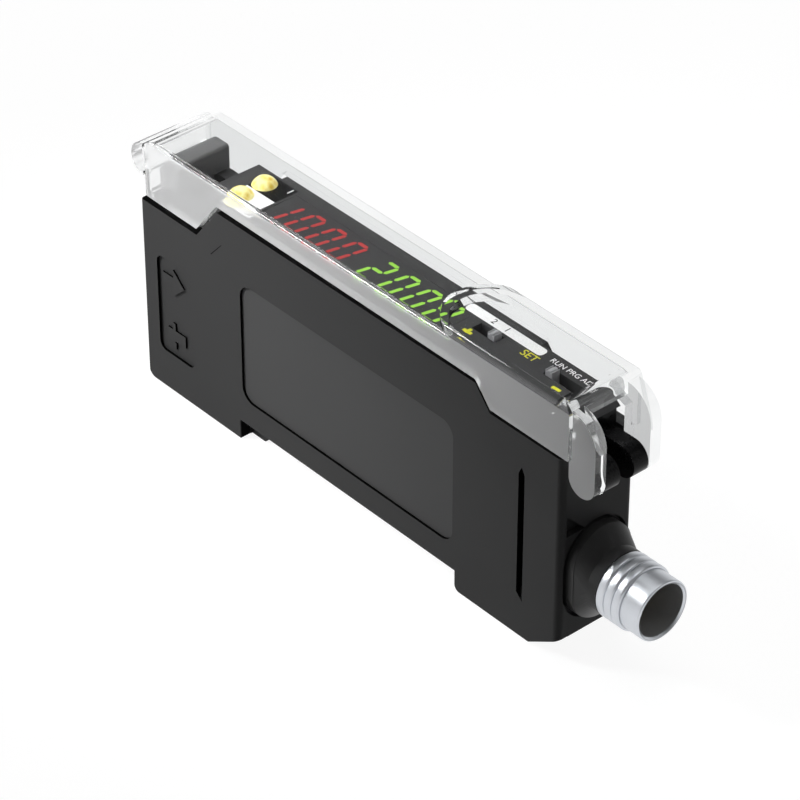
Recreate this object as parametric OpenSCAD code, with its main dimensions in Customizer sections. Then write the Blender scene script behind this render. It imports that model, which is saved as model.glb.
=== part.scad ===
// Slim fibre optic sensor amplifier for a 35 mm rail.
// X runs from the fibre end to the plug end, Y across the width, Z up from the feet.

/* [Housing] */
// Length of the housing, without the dust cover's lip and the plug
body_l = 67.8; // [66:0.1:76]
// Width of the housing
body_w = 10; // [9.6:0.1:12]
// Height of the deck above the feet
deck_z = 28.9; // [28:0.1:34]
// Thickness of the two side walls
side_t = 1.4; // [1.2:0.05:1.6]
// Thickness of the end walls and of the floor over the rail
wall_t = 1.4; // [1:0.1:2]
// Drop from the deck to the side walls' top beside it
wall_drop = 0.6; // [0.3:0.05:0.8]
// Drop from the deck to the side wall's top at the fibre end
fibre_drop = 5.24; // [4.6:0.02:5.6]
// Length of that low side wall
fibre_low_l = 9.82; // [9.4:0.1:11]
// Run of the slope from the low wall up to the deck
fibre_slope = 3.64; // [2:0.1:5]
// Drop from the deck to the side wall's top at the plug end
plug_drop = 3.17; // [2.4:0.01:3.4]
// Length of that low side wall
plug_low_l = 10.77; // [8:0.1:14]
// Run of the slope from the deck down to it
plug_slope = 2.23; // [1.5:0.1:4]
// Length of the chamfer under the plug end
tail_cut_l = 4.4; // [2:0.1:6]
// Height of that chamfer
tail_cut_h = 2.7; // [1:0.1:3.4]
// Radius of the foot at the fibre end
foot_r = 1.3; // [0.5:0.1:2]
// Radius of the upright edges at the plug end
edge_r = 0.8; // [0.3:0.1:1.2]

/* [Rail notch] */
// Width of the rail that the notch grips
rail_w = 35; // [34.8:0.1:35.4]
// Play of the rail in the notch
rail_play = 0.4; // [0.2:0.1:0.8]
// Distance from the fibre end to the notch
notch_x = 16.54; // [15:0.1:18]
// Height of the notch
notch_h = 2.53; // [2.4:0.05:3]
// Thickness of the two hooks under the rail
hook_t = 1.1; // [0.8:0.1:1.2]
// Reach of the fixed hook
fixed_hook = 2.6; // [1.5:0.1:3]
// Reach of the snap hook
snap_hook = 0.7; // [0.4:0.1:1]

/* [Side cover] */
// Distance from the notch's wall to the label recess
label_in = 0.56; // [0:0.02:2]
// Height of the label recess over the feet
label_low = 5.75; // [5:0.05:7]
// Length of the label recess
label_l = 34.5; // [30:0.1:38]
// Height of the label recess itself
label_h = 15.45; // [12:0.05:17]
// Corner radius of the label recess
label_r = 1.8; // [0.5:0.1:3]
// Depth of the label recess
label_deep = 0.45; // [0.3:0.05:0.7]
// Thickness of the label
label_t = 0.2; // [0.1:0.05:0.25]
// Distance of the lock sign's recess from the fibre end
sign_in = 2.47; // [2:0.01:3.4]
// Height of the lock sign's recess over the feet
sign_low = 5; // [4:0.1:6]
// Length of the lock sign's recess
sign_l = 6.2; // [5:0.1:8]
// Height of the lock sign's recess itself
sign_h = 12.6; // [11:0.1:14]
// Depth of the lock sign's recess
sign_deep = 0.3; // [0.2:0.05:0.5]
// Distance of the upright groove from the plug end
groove_in = 5.9; // [4:0.1:7]
// Width and depth of the groove
groove_w = 0.9; // [0.6:0.1:1.2]
// Lowest point of the groove
groove_low = 4.7; // [4:0.1:8]
// Highest point of the groove
groove_high = 21.7; // [16:0.1:24]
// Height of the ramp at the groove's lower end
groove_ramp = 1.4; // [0.5:0.1:2]

/* [Dust cover] */
// Wall thickness of the clear cover
cover_t = 0.9; // [0.7:0.05:1.1]
// Gap between the cover's skirts and the side walls at the plug end
cover_gap = 0.35; // [0.2:0.05:0.6]
// Extra gap at the fibre end, where the cover stands a little off
gap_taper = 0.5; // [0:0.05:0.8]
// Height of the cover's top over the deck
cover_rise = 2.9; // [2.6:0.1:3.5]
// Extra height of the raised top over the controls
dome_rise = 1.05; // [0.6:0.05:1.5]
// Length of the raised top, from the cover's end
dome_l = 22.15; // [20:0.1:24]
// Overhang of the cover past the plug end
cover_over = 0.65; // [0.3:0.05:1]
// Reach of the thumb lip past the fibre end
lip_reach = 1.55; // [1:0.05:2]
// Radius of the thumb lip
lip_r = 2; // [1.8:0.1:2.4]
// Height of the thumb lip's middle over the middle of the cover's end
lip_up = 0.6; // [0:0.1:0.8]
// Distance of the thumb lip's ends from the cover's sides
lip_side = 0.2; // [0.2:0.1:1]
// Radius along the edges of the low top
low_round = 0.4; // [0.2:0.05:0.7]
// Radius along the edges of the raised top
dome_round = 0.7; // [0.4:0.05:1]
// Radius of the raised top's roll at the cover's end
roll_r = 1.4; // [1.1:0.05:2.6]

/* [Hinge] */
// Distance of the hinge axis past the plug end
hinge_out = 2.15; // [2.1:0.05:3]
// Height of the hinge axis under the deck
hinge_drop = 4.8; // [4.4:0.1:5.2]
// Radius of the ears and of the lugs
ear_r = 1.85; // [1.5:0.05:1.9]
// Thickness of an ear
ear_t = 1.5; // [1:0.1:1.6]
// Distance of an ear's outer face in from the cover's side
ear_in = 0.5; // [0.3:0.05:0.7]
// Radius of the ears' pivot studs
stud_r = 0.9; // [0.6:0.05:1]
// Height at which an ear's front starts to curve back, under the deck
ear_bend = 0.5; // [0.3:0.1:3]
// Gap between the two lugs
lug_gap = 1.9; // [1.2:0.1:2.2]
// Thickness of the wall that closes a lug's bore
lug_web = 0.5; // [0.3:0.05:0.7]

/* [Fibre clamp] */
// Distance of the lever's pivot from the fibre end
lever_x = 5.8; // [5.6:0.1:6.2]
// Height of the lever's pivot under the deck
lever_drop = 10.9; // [10.6:0.1:11.2]
// Length of the lever's finger bar
bar_l = 3.2; // [2.6:0.1:3.4]
// Distance of the finger bar from the fibre end
bar_x = 2.2; // [1.8:0.1:2.4]
// Height of the finger bar's top over the deck
bar_over = 0.3; // [0:0.1:0.8]
// Width of the lever's neck and hub
neck_w = 3; // [2.4:0.1:3.2]
// Radius of the lever's hub
hub_r = 1.9; // [1.6:0.1:2]
// Radius of the pivot pin
pivot_r = 0.75; // [0.5:0.05:0.9]
// Radius of the rounded floor under the finger bar
floor_r = 8; // [7.6:0.1:8.2]

/* [Fibre ports] */
// Radius of the ports, for fibre with a 2.2 mm jacket
port_r = 1.15; // [1.1:0.01:1.2]
// Depth of the upper port's axis under the lever's pivot
port_under = 5.8; // [5.4:0.1:6.2]
// Distance between the two ports
port_pitch = 4.6; // [4.2:0.1:5]
// Depth of the lens seats behind the fibres' rubber grips
lens_seat_l = 1.5; // [1.4:0.1:2]
// Length of the block that holds the ports
block_l = 11; // [10.6:0.1:11.6]

/* [Deck] */
// Distance from the fibre end to the deck
deck_x = 10.3; // [10.1:0.1:11]
// Thickness of the deck plate
deck_t = 1.2; // [0.9:0.1:1.5]
// Thickness of the deck's side walls
skirt_t = 0.8; // [0.6:0.05:0.9]
// Radius of the deck's rounded end
deck_r = 3; // [2:0.1:3.4]
// Distance of the output lamps from the deck's end
lamp_in = 3.5; // [3.2:0.1:4]
// Radius of a lamp's dome
lamp_r = 1.45; // [1:0.05:1.5]
// Height of a lamp's dome over the deck
lamp_h = 1; // [0.7:0.05:1.3]
// Distance of the second output lamp's middle from the deck's inner wall
lamp_2_in = 0.9; // [0.85:0.05:1.4]
// Gap between the two lamps' domes
lamp_gap = 0.4; // [0.2:0.05:0.6]
// Distance of the display window from the deck's end
window_in = 7.4; // [7:0.1:8]
// Distance of the display window from the plug end
window_out = 20.9; // [20.5:0.1:24]
// Distance of the display window's sides from the deck's inner walls
window_side = 0.1; // [0.05:0.05:0.5]

/* [Controls] */
// Distance of the rocker's middle from the plug end
rocker_in = 11.8; // [11.6:0.1:12]
// Length of the rocker
rocker_l = 15.6; // [15:0.1:16]
// Distance of the rocker from the deck's inner wall
rocker_side = 0.1; // [0.05:0.05:0.3]
// Distance of the rocker from the deck's middle line
rocker_mid = 0.25; // [0.2:0.05:0.4]
// Height of the rocker over the deck
rocker_over = 0.5; // [0.3:0.05:0.7]
// Travel of the rocker's middle when pressed
press_l = 0.4; // [0.2:0.05:0.4]
// Position of the two slide switches across the deck
slide_y = 0.9; // [0.85:0.05:1]
// Length of a slide knob's top
knob_l = 1; // [0.8:0.05:1.2]
// Width of a slide knob's top
knob_w = 1.1; // [0.9:0.05:1.2]
// Height of a slide knob over the deck
knob_over = 0.6; // [0.3:0.05:0.7]
// Distance of the channel knob from the plug end, at its first place
channel_in = 16.6; // [16.4:0.1:16.8]
// Travel of the channel knob
channel_l = 2; // [1.5:0.1:2.2]
// Distance of the mode knob from the plug end, at its first place
mode_in = 8; // [7.9:0.1:8.2]
// Travel of the mode knob through its three places
mode_l = 3; // [2.4:0.1:3]

/* [Plug] */
// Height of the plug's axis
plug_z = 10.1; // [9.6:0.1:10.6]
// Overhang of the flange past the neck
flange_over = 0.3; // [0.2:0.05:0.4]
// Width of the moat in the plug end round the flange
moat_w = 0.4; // [0.2:0.05:0.5]
// Depth of the moat and of the nook beside it
moat_deep = 0.8; // [0.4:0.1:1]
// Height of the three-cornered nook beside the flange
nook_h = 2.6; // [2:0.1:3]
// Height of the flange
flange_h = 11.4; // [10:0.1:11.6]
// Thickness of the flange's edge
flange_t = 1; // [0.7:0.1:1.4]
// Length of the cone from the flange to the neck
cone_l = 1.6; // [1.2:0.1:2.2]
// Wall of the neck round the barrel
neck_t = 0.35; // [0.3:0.05:0.6]
// Length of the neck
neck_l = 1.3; // [1:0.1:2]
// Height of the barrel's ridges over its sleeve
ridge_h = 0.3; // [0.15:0.05:0.45]
// Length of the ridged collar
collar_l = 3.3; // [2.8:0.1:3.6]
// Radius of the smooth sleeve
sleeve_r = 3.5; // [3.3:0.05:3.55]
// Length of the smooth sleeve with its rim
sleeve_l = 2.6; // [2.2:0.1:3.2]
// Wall of the sleeve round the socket
sleeve_t = 0.45; // [0.4:0.05:0.6]
// Bevel inside the socket's mouth, and the round outside it
mouth = 0.2; // [0.1:0.05:0.2]
// Step from the socket's wall in to the contact insert
insert_in = 0.5; // [0.3:0.05:0.6]
// Depth of the contacts' tips below the rim
tip_deep = 4.6; // [4.4:0.1:5]
// Radius of a contact
contact_r = 0.4; // [0.3:0.05:0.5]
// Contacts on the ring, round one in the middle
contacts = 5; // [3:1:6]

/* [Boards] */
// Thickness of the circuit boards
board_t = 1; // [0.8:0.1:1.2]
// Height of the space over the control board
parts_h = 4.7; // [4.6:0.1:5]

/* [Clearances] */
// Play between pieces that are fixed to each other
fit = 0.05; // [0.02:0.01:0.08]
// Radial clearance of a turning pivot
run = 0.05; // [0.03:0.01:0.08]
// Gap between pieces that move past each other
move = 0.25; // [0.2:0.05:0.3]

/* [Hidden] */
$fn = 64;
eps = 0.5;
half_w = body_w / 2;
core_y = half_w - side_t;
skirt_y = half_w - cover_t;
deck_y = core_y - fit;
room_y = deck_y - skirt_t;
wall_z = deck_z - wall_drop;
fibre_top = deck_z - fibre_drop;
plug_top = deck_z - plug_drop;
notch_end = notch_x + rail_w + rail_play;
floor_z = notch_h + wall_t;
cover_z = deck_z + cover_rise;
dome_z = cover_z + dome_rise;
cover_end = body_l + cover_over;
dome_x = cover_end - dome_l;
lip_x = lip_r - lip_reach;
lip_z = (cover_z + fibre_top + skirt_gap(0)) / 2 + lip_up;
end_r = 3;
plan_r = 1.6;
mouth_z = cover_z - cover_t - cover_gap;
hinge_x = body_l + hinge_out;
hinge_z = deck_z - hinge_drop;
ear_y = half_w - ear_in;
lug_y = ear_y - ear_t - 2 * run;
cap_z = hinge_z - ear_r - move;
end_t = 2.6;
pocket_deep = 1.4;
pocket_y = -0.6;
pocket_top = 0.9;
pocket_r = 1.2;
lever_z = deck_z - lever_drop;
bar_z = deck_z + bar_over;
bar_y = core_y - move;
floor_x = cover_t + cover_gap;
slot_y = neck_w / 2 + move;
slot_before = 3.1;
slot_after = 2.7;
slot_x = [lever_x - slot_before, lever_x + slot_after];
pit_z = lever_z - hub_r - move;
port_z = [lever_z - port_under - port_pitch, lever_z - port_under];
bay_over = 3;
bay_z = [port_z[0] - bay_over, port_z[1] + bay_over];
nose_y = 2.4;
nose_over = 2;
nose_z = [port_z[0] - nose_over, port_z[1] + nose_over];
grip_l = 2;
port_l = block_l - grip_l - lens_seat_l;
grip_r = 1.85;
lens_seat_r = 1.65;
lens_r = lens_seat_r - fit;
lens_base_t = 0.8;
lens_back = 0.2;
funnel = 0.45;
panel_z = deck_z - deck_t;
board_z = panel_z - parts_h;
lamp_x = deck_x + lamp_in;
lamp_y = [lamp_2_in - room_y + 2 * lamp_r + lamp_gap, lamp_2_in - room_y];
lamp_stem = min(room_y - lamp_y[0], lamp_2_in) - window_side;
window_x = deck_x + window_in;
window_end = body_l - window_out;
window_y = room_y - window_side;
display_gap = 0.4;
rocker_x = body_l - rocker_in;
rocker_h = 2.4;
rocker_w = room_y - rocker_side - rocker_mid;
rocker_y = -rocker_mid - rocker_w / 2;
rocker_top = deck_z + rocker_over;
pivot_drop = 1;
pivot_z = rocker_top - rocker_h - pivot_drop;
cross_r = 0.5;
cheek_r = 2 * cross_r;
cheek_t = 0.45;
saddle_l = 2;
saddle_w = rocker_w - 2 * cheek_t - 2 * run - 4 * fit;
tact_step = 6.3;
tact_h = 1.6;
tact_z = board_z + tact_h;
tact_button_h = 0.4;
tact_button_r = 0.7;
channel_x = body_l - channel_in;
mode_x = body_l - mode_in;
shoe_l = 2.4;
shoe_t = 1;
shoe_z = panel_z - move - shoe_t;
switch_y = 0.8;
socket_r = sleeve_r - sleeve_t;
insert_r = socket_r - insert_in;
spigot_t = 0.3;
spigot_r = socket_r + spigot_t;
neck_r = spigot_r + fit + neck_t;
flange_w = neck_r + flange_over;
flange_x = body_l + flange_t;
neck_x = flange_x + cone_l;
collar_x = neck_x + neck_l;
sleeve_x = collar_x + collar_l;
rim_x = sleeve_x + sleeve_l;
spigot_in = 0.6;
spigot_x = flange_x + spigot_in;
tip_x = rim_x - tip_deep;
contact_l = 2.8;
insert_x = tip_x - contact_l;
tail_l = 1.6;
chip_l = 8;
tail_x = body_l - wall_t - tail_l;
ring_in = 1;
ring_r = insert_r - ring_in;
gasket_in = 0.8;
gasket_r = insert_r + gasket_in;
gasket_w = 0.45;
gasket_out_r = gasket_r + gasket_w;
gasket_t = 0.5;
mid_x = (rim_x - lip_reach) / 2;

// The two ends of a length about its middle
function span(middle, length) = [middle - length / 2, middle + length / 2];

// Gap under the cover's skirts, wider towards the fibre end
function skirt_gap(x) = cover_gap + gap_taper * (1 - x / body_l);

// Radius of a clear wall's edge, outside or inside
function wall_round(r, inset) = inset > 0 ? r / 2 : r;

// Placing: every piece is drawn from the fibre end and then centred on the part's origin
module placed() {
    translate([-mid_x, 0, 0]) children();
}

// An outline in X and Z, drawn through Y
module through_y(y0, y1) {
    translate([0, y1, 0]) rotate([90, 0, 0]) linear_extrude(y1 - y0) children();
}

// An outline in Y and Z, drawn through X
module through_x(x0, x1) {
    translate([x0, 0, 0]) rotate([90, 0, 90]) linear_extrude(x1 - x0) children();
}

// An outline in X and Y, drawn through Z
module through_z(z0, z1) {
    translate([0, 0, z0]) linear_extrude(z1 - z0) children();
}

module box(x, y, z) {
    translate([x[0], y[0], z[0]]) cube([x[1] - x[0], y[1] - y[0], z[1] - z[0]]);
}

module rod_x(y, z, r, x) {
    translate([x[0], y, z]) rotate([0, 90, 0]) cylinder(r = r, h = x[1] - x[0]);
}

module rod_y(x, z, r, y) {
    translate([x, y[1], z]) rotate([90, 0, 0]) cylinder(r = r, h = y[1] - y[0]);
}

module rod_z(x, y, r, z) {
    translate([x, y, z[0]]) cylinder(r = r, h = z[1] - z[0]);
}

// What a quarter round takes off a square corner, with the corner at the origin
module corner_waste(r) {
    difference() {
        translate([-eps, -eps]) square(r + eps);
        translate([r, r]) circle(r);
    }
}

module round_rect(at, size, r) {
    translate(at) difference() {
        square(size);
        for (i = [0, 1], j = [0, 1])
            translate([i * size[0], j * size[1]]) mirror([i, 0]) mirror([0, j]) corner_waste(r);
    }
}

// Side outline of the housing, with the rail notch
module side_outline() {
    difference() {
        polygon([
            [0, 0], [notch_x, 0], [notch_x, notch_h], [notch_end, notch_h], [notch_end, 0],
            [body_l - tail_cut_l, 0], [body_l, tail_cut_h], [body_l, plug_top],
            [body_l - plug_low_l, plug_top], [body_l - plug_low_l - plug_slope, wall_z],
            [fibre_low_l + fibre_slope, wall_z], [fibre_low_l, fibre_top], [0, fibre_top]
        ]);
        corner_waste(foot_r);
        translate([notch_end, 0]) corner_waste(edge_r);
    }
}

// Plan outline of the housing, with its rounded upright edges
module plan_outline() {
    difference() {
        translate([0, -half_w]) square([body_l, body_w]);
        for (s = [0, 1]) {
            mirror([0, s]) translate([body_l, -half_w]) mirror([1, 0]) corner_waste(edge_r);
            mirror([0, s]) translate([0, -half_w]) corner_waste(edge_r / 2);
        }
    }
}

module housing_slice(y0, y1) {
    intersection() {
        through_y(y0, y1) side_outline();
        through_z(-eps, deck_z + eps) plan_outline();
    }
}

// Rounded floor under the finger bar, beside the lever's slot
module lever_floor() {
    through_y(-deck_y, deck_y) intersection() {
        translate([floor_x, fibre_top - eps]) square([deck_x - fit - floor_x, floor_r]);
        translate([lever_x, lever_z]) circle(floor_r);
    }
}

// Hooks that hold the rail: a long fixed one and a short one that snaps
module rail_hooks() {
    hook_y = core_y - move;
    through_y(-hook_y, hook_y) {
        difference() {
            translate([notch_x - eps, 0]) square([fixed_hook + eps, hook_t]);
            translate([notch_x + fixed_hook, 0]) mirror([1, 0]) corner_waste(hook_t / 2);
        }
        polygon([
            [notch_end + eps, edge_r], [notch_end + eps, hook_t], [notch_end - snap_hook, hook_t],
            [notch_end, edge_r / 2]
        ]);
    }
}

module housing_tub() {
    color("#2b2b2d") difference() {
        union() {
            housing_slice(-core_y, half_w);
            lever_floor();
            rail_hooks();
        }
        box([deck_x - fit, body_l + eps], [-core_y - eps, core_y], [cap_z, deck_z + eps]);
        box([block_l + fit, body_l - wall_t], [-core_y - eps, core_y], [floor_z, cap_z + eps]);
        box([wall_t, block_l + eps], [-core_y - eps, core_y], bay_z);
        box([-eps, wall_t + eps], [-nose_y - fit, nose_y + fit], [nose_z[0] - fit, nose_z[1] + fit]);
        box(slot_x, [-slot_y, slot_y], [pit_z, deck_z + eps]);
        rod_y(lever_x, lever_z, pivot_r + fit / 2, [-core_y - eps, core_y - wall_t / 2]);
        rod_x(0, plug_z, gasket_r - fit, [body_l - wall_t - eps, body_l + eps]);
        flange_moat();
    }
}

// Moat round the flange, with a three-cornered nook on the near side
module flange_moat() {
    nook_y = half_w - edge_r;
    nook_z = plug_z + flange_h / 2;
    through_x(body_l - moat_deep, body_l + eps) {
        difference() {
            obround(flange_w + moat_w, flange_h + 2 * moat_w);
            obround(flange_w, flange_h);
        }
        polygon([[-nook_y, nook_z], [-nook_y, nook_z + nook_h], [nook_h - nook_y, nook_z]]);
    }
}

module side_cover() {
    sign_r = 1;
    color("#3a3a3c") difference() {
        housing_slice(-half_w, -core_y);
        through_y(-half_w - eps, -half_w + label_deep)
            round_rect([notch_x + label_in, label_low], [label_l, label_h], label_r);
        through_y(-half_w - eps, -half_w + sign_deep)
            round_rect([sign_in, sign_low], [sign_l, sign_h], sign_r);
        groove();
        flange_moat();
    }
}

// Upright groove with a pointed top and a ramp at its slanted lower end
module groove() {
    x = body_l - groove_in;
    floor_y = groove_w - half_w;
    intersection() {
        through_y(-half_w - eps, floor_y) polygon([
            [x - groove_w / 2, groove_low + groove_w], [x + groove_w / 2, groove_low],
            [x + groove_w / 2, groove_high - groove_w], [x, groove_high],
            [x - groove_w / 2, groove_high - groove_w]
        ]);
        through_x(x - groove_w, x + groove_w) polygon([
            [-half_w - eps, groove_low], [-half_w, groove_low], [floor_y, groove_low + groove_ramp],
            [floor_y, groove_high], [-half_w - eps, groove_high]
        ]);
    }
}

module side_label() {
    color("#4a4a4c") through_y(-half_w + label_deep - label_t, -half_w + label_deep)
        round_rect(
            [notch_x + label_in + fit, label_low + fit],
            [label_l - 2 * fit, label_h - 2 * fit],
            label_r - fit
        );
}

// Deck with side walls, rounded plug end and the two hinge lugs
module top_deck() {
    inner_end = body_l - end_t;
    color("#303032") difference() {
        union() {
            through_y(-deck_y, deck_y) difference() {
                translate([deck_x, cap_z]) square([body_l - deck_x, deck_z - cap_z]);
                translate([body_l, deck_z]) mirror([1, 0]) mirror([0, 1]) corner_waste(deck_r);
            }
            hinge_lugs();
        }
        box([deck_x + skirt_t, inner_end], [-room_y, room_y], [cap_z - eps, panel_z]);
        for (y = lamp_y) rod_z(lamp_x, y, lamp_r + fit, [panel_z - eps, deck_z + eps]);
        box(
            [window_x, window_end],
            [-window_y, window_y],
            [panel_z - eps, deck_z + eps]
        );
        box(
            span(rocker_x, rocker_l + 2 * move),
            span(rocker_y, rocker_w + move),
            [panel_z - eps, deck_z + eps]
        );
        knob_slot(channel_x - channel_l, channel_x);
        knob_slot(mode_x, mode_x + mode_l);
        hinge_pocket();
        for (s = [0, 1]) mirror([0, s, 0])
            rod_y(hinge_x, hinge_z, stud_r + run, [lug_gap / 2 + lug_web, lug_y + eps]);
    }
}

module knob_slot(x0, x1) {
    reach = knob_l / 2 + move;
    wide = knob_w / 2 + move / 2;
    box([x0 - reach, x1 + reach], span(slide_y, 2 * wide), [panel_z - eps, deck_z + eps]);
}

// Recess in the plug end that the far lug stands in
module hinge_pocket() {
    difference() {
        through_x(body_l - pocket_deep, body_l + eps) difference() {
            translate([pocket_y, cap_z - eps]) square([half_w, deck_z - pocket_top - cap_z + eps]);
            translate([pocket_y, deck_z - pocket_top]) mirror([0, 1]) corner_waste(pocket_r);
        }
        hinge_lugs();
    }
}

module hinge_lugs() {
    root_x = body_l - pocket_deep - eps;
    for (s = [0, 1]) mirror([0, s, 0]) through_y(lug_gap / 2, lug_y) {
        translate([root_x, hinge_z - ear_r]) square([hinge_x - root_x, 2 * ear_r]);
        translate([hinge_x, hinge_z]) circle(ear_r);
    }
}

module display_window() {
    wide = window_y - fit;
    color("#1c1c1e") box([window_x + fit, window_end - fit], [-wide, wide], [panel_z, deck_z]);
}

// Display module: a cup with four wells for the digits, closed by the window
module display(x0, x1) {
    wide = window_y - fit;
    digits = 4;
    well = 0.7;
    pitch = (x1 - x0) / digits;
    difference() {
        box([x0, x1], [-wide, wide], [board_z, panel_z]);
        for (i = [0 : digits - 1])
            box(
                span(x0 + (i + 0.5) * pitch, well * pitch),
                [-wide + skirt_t, wide - skirt_t],
                [panel_z - deck_t, panel_z + eps]
            );
    }
}

module red_display() {
    color("#5a1a1a") display(window_x + fit, (window_x + window_end - display_gap) / 2);
}

module green_display() {
    color("#2c4a1a") display((window_x + window_end + display_gap) / 2, window_end - fit);
}

// Domed lamp on a stem that stands on the control board
module lamp(y) {
    ball_r = (lamp_r ^ 2 + lamp_h ^ 2) / (2 * lamp_h);
    color("#f4e27a") {
        rod_z(lamp_x, y, lamp_stem, [board_z, panel_z]);
        rod_z(lamp_x, y, lamp_r, [panel_z, deck_z]);
        intersection() {
            translate([lamp_x, y, deck_z + lamp_h - ball_r]) sphere(ball_r);
            rod_z(lamp_x, y, lamp_r, [deck_z, deck_z + ball_r]);
        }
    }
}

module control_board() {
    wide = room_y - fit;
    color("#1f5a36") box(
        [deck_x + skirt_t + fit, body_l - end_t - fit],
        [-wide, wide],
        [board_z - board_t, board_z]
    );
}

// Upright board that stands on the floor and carries the control board
module main_board() {
    color("#1f5a36") box(
        [notch_x, body_l - wall_t - 2 * board_t],
        [board_t, 2 * board_t],
        [floor_z, board_z - board_t]
    );
}

module controller_chip() {
    x = notch_x + rail_w / 2;
    z = floor_z + chip_l;
    color("#202022") box(span(x, chip_l), [0, board_t], span(z, chip_l));
}

// Three push switches under the rocker's ends and middle
module tact_switches() {
    foot = rocker_w - 4 * fit;
    color("#8a8a8c") for (i = [-1 : 1]) {
        x = rocker_x + i * tact_step;
        box(span(x, foot), span(rocker_y, foot), [board_z, tact_z - tact_button_h]);
        rod_z(x, rocker_y, tact_button_r, [tact_z - tact_button_h, tact_z]);
    }
}

// Rocker with a dished top, two cheeks on the plunger's cross pin and two pushers
module rocker_button() {
    half = rocker_w / 2;
    low = rocker_top - rocker_h;
    dish_r = 60;
    dish = 0.35;
    pusher_r = 0.6;
    pusher_gap = 0.2;
    pusher_z = tact_z + press_l + move + pusher_gap;
    color("#38383a") difference() {
        union() {
            box(span(rocker_x, rocker_l), span(rocker_y, rocker_w), [low, rocker_top]);
            for (s = [-1, 1]) {
                rod_z(rocker_x + s * tact_step, rocker_y, pusher_r, [pusher_z, low + eps]);
                through_y(
                    rocker_y + s * (half - cheek_t / 2) - cheek_t / 2,
                    rocker_y + s * (half - cheek_t / 2) + cheek_t / 2
                ) {
                    translate([rocker_x, pivot_z]) circle(cheek_r);
                    translate([rocker_x - cheek_r, pivot_z]) square([2 * cheek_r, pivot_drop + eps]);
                }
            }
        }
        rod_y(rocker_x, rocker_top + dish_r - dish, dish_r, span(rocker_y, body_w), $fn = 480);
        rod_y(rocker_x, pivot_z, cross_r + run, span(rocker_y, body_w));
    }
}

// Saddle that the rocker tips on, with the stem that presses the middle switch
module set_plunger() {
    wide = rocker_w / 2 - fit;
    under = 0.4;
    over = 0.2;
    stem_r = 0.45;
    color("#e0e0dc") {
        box(
            span(rocker_x, saddle_l),
            span(rocker_y, saddle_w),
            [pivot_z - cross_r - under, pivot_z + cross_r + over]
        );
        rod_y(rocker_x, pivot_z, cross_r, span(rocker_y, 2 * wide));
        rod_z(rocker_x, rocker_y, stem_r, [tact_z + press_l + fit, pivot_z]);
    }
}

// Slide switch: a case on the board, under the knob's whole travel
module slide_case(x0, x1) {
    color("#9a9a9c") box(
        [x0 - shoe_l / 2 - fit, x1 + shoe_l / 2 + fit],
        span(slide_y, 2 * switch_y),
        [board_z, shoe_z - fit]
    );
}

// Slide knob: a shoe under the deck, a stem through its slot and a ribbed top
module slide_knob(x) {
    rib = knob_l / 5;
    color("#8e8e90") difference() {
        union() {
            box(span(x, shoe_l), span(slide_y, 2 * switch_y), [shoe_z, shoe_z + shoe_t]);
            box(
                span(x, knob_l),
                span(slide_y, knob_w),
                [shoe_z, deck_z + knob_over]
            );
        }
        for (i = [-1, 1])
            box(
                span(x + i * rib * 1.5, rib),
                span(slide_y, body_w),
                [deck_z + knob_over - rib, deck_z + knob_over + eps]
            );
    }
}

// Region under the skirts: the housing's side outline, raised by the gap
module under_skirts() {
    edge = [
        [-body_w, fibre_top], [fibre_low_l, fibre_top], [fibre_low_l + fibre_slope, wall_z],
        [body_l - plug_low_l - plug_slope, wall_z], [body_l - plug_low_l, plug_top],
        [body_l + body_w, plug_top]
    ];
    raised = [for (point = edge) [point[0], point[1] + skirt_gap(point[0])]];
    polygon(concat([[-body_w, 0]], raised, [[body_l + body_w, 0]]));
}

// Outer or inner form of the low top: inset is the wall
module low_form(inset) {
    top = cover_z - inset;
    wide = half_w - inset;
    edge = wall_round(low_round, inset);
    intersection() {
        through_y(-wide, wide) difference() {
            translate([inset, 0]) square([dome_x + 2 * half_w, top]);
            translate([inset, top]) mirror([0, 1]) corner_waste(end_r - inset);
        }
        cross_round(top, wide, edge);
        through_z(0, top) difference() {
            translate([inset, -wide]) square([cover_end, 2 * wide]);
            for (s = [0, 1]) mirror([0, s]) translate([inset, -wide]) corner_waste(plan_r - inset);
        }
    }
}

// Outer or inner form of the raised top, with a round end in plan
module dome_form(inset) {
    top = dome_z - inset;
    wide = half_w - inset;
    edge = wall_round(dome_round, inset);
    last = cover_end - inset;
    intersection() {
        through_y(-wide, wide) difference() {
            translate([dome_x, 0]) square([last - dome_x, top]);
            translate([last, top]) mirror([1, 0]) mirror([0, 1]) corner_waste(roll_r - inset);
        }
        cross_round(top, wide, edge);
        through_z(0, top) {
            translate([dome_x + half_w, 0]) circle(wide);
            translate([dome_x + half_w, -wide]) square([last - dome_x, 2 * wide]);
        }
    }
}

module cross_round(top, wide, r) {
    through_x(0, cover_end) difference() {
        translate([-wide, 0]) square([2 * wide, top]);
        for (s = [0, 1]) mirror([s, 0]) translate([-wide, top]) mirror([0, 1]) corner_waste(r);
    }
}

// Ear outline: a round foot on the hinge axis and a front that curves back to the cover's end
module ear_outline() {
    back = hinge_x - ear_r;
    front = hinge_x + ear_r;
    inner = cover_end - end_r;
    top = dome_z - cover_t;
    shoulder = deck_z + 3 * cover_gap;
    bend_z = deck_z - ear_bend;
    run_back = front - cover_end + cover_t;
    bend_r = (run_back ^ 2 + (top - bend_z) ^ 2) / (2 * run_back);
    translate([hinge_x, hinge_z]) circle(ear_r);
    intersection() {
        polygon([
            [back, hinge_z], [back, deck_z], [inner, shoulder], [inner, top], [front, top], [front, hinge_z]
        ]);
        union() {
            translate([front - bend_r, bend_z]) circle(bend_r, $fn = 180);
            translate([inner, hinge_z]) square([front - inner, bend_z - hinge_z]);
        }
    }
}

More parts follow.
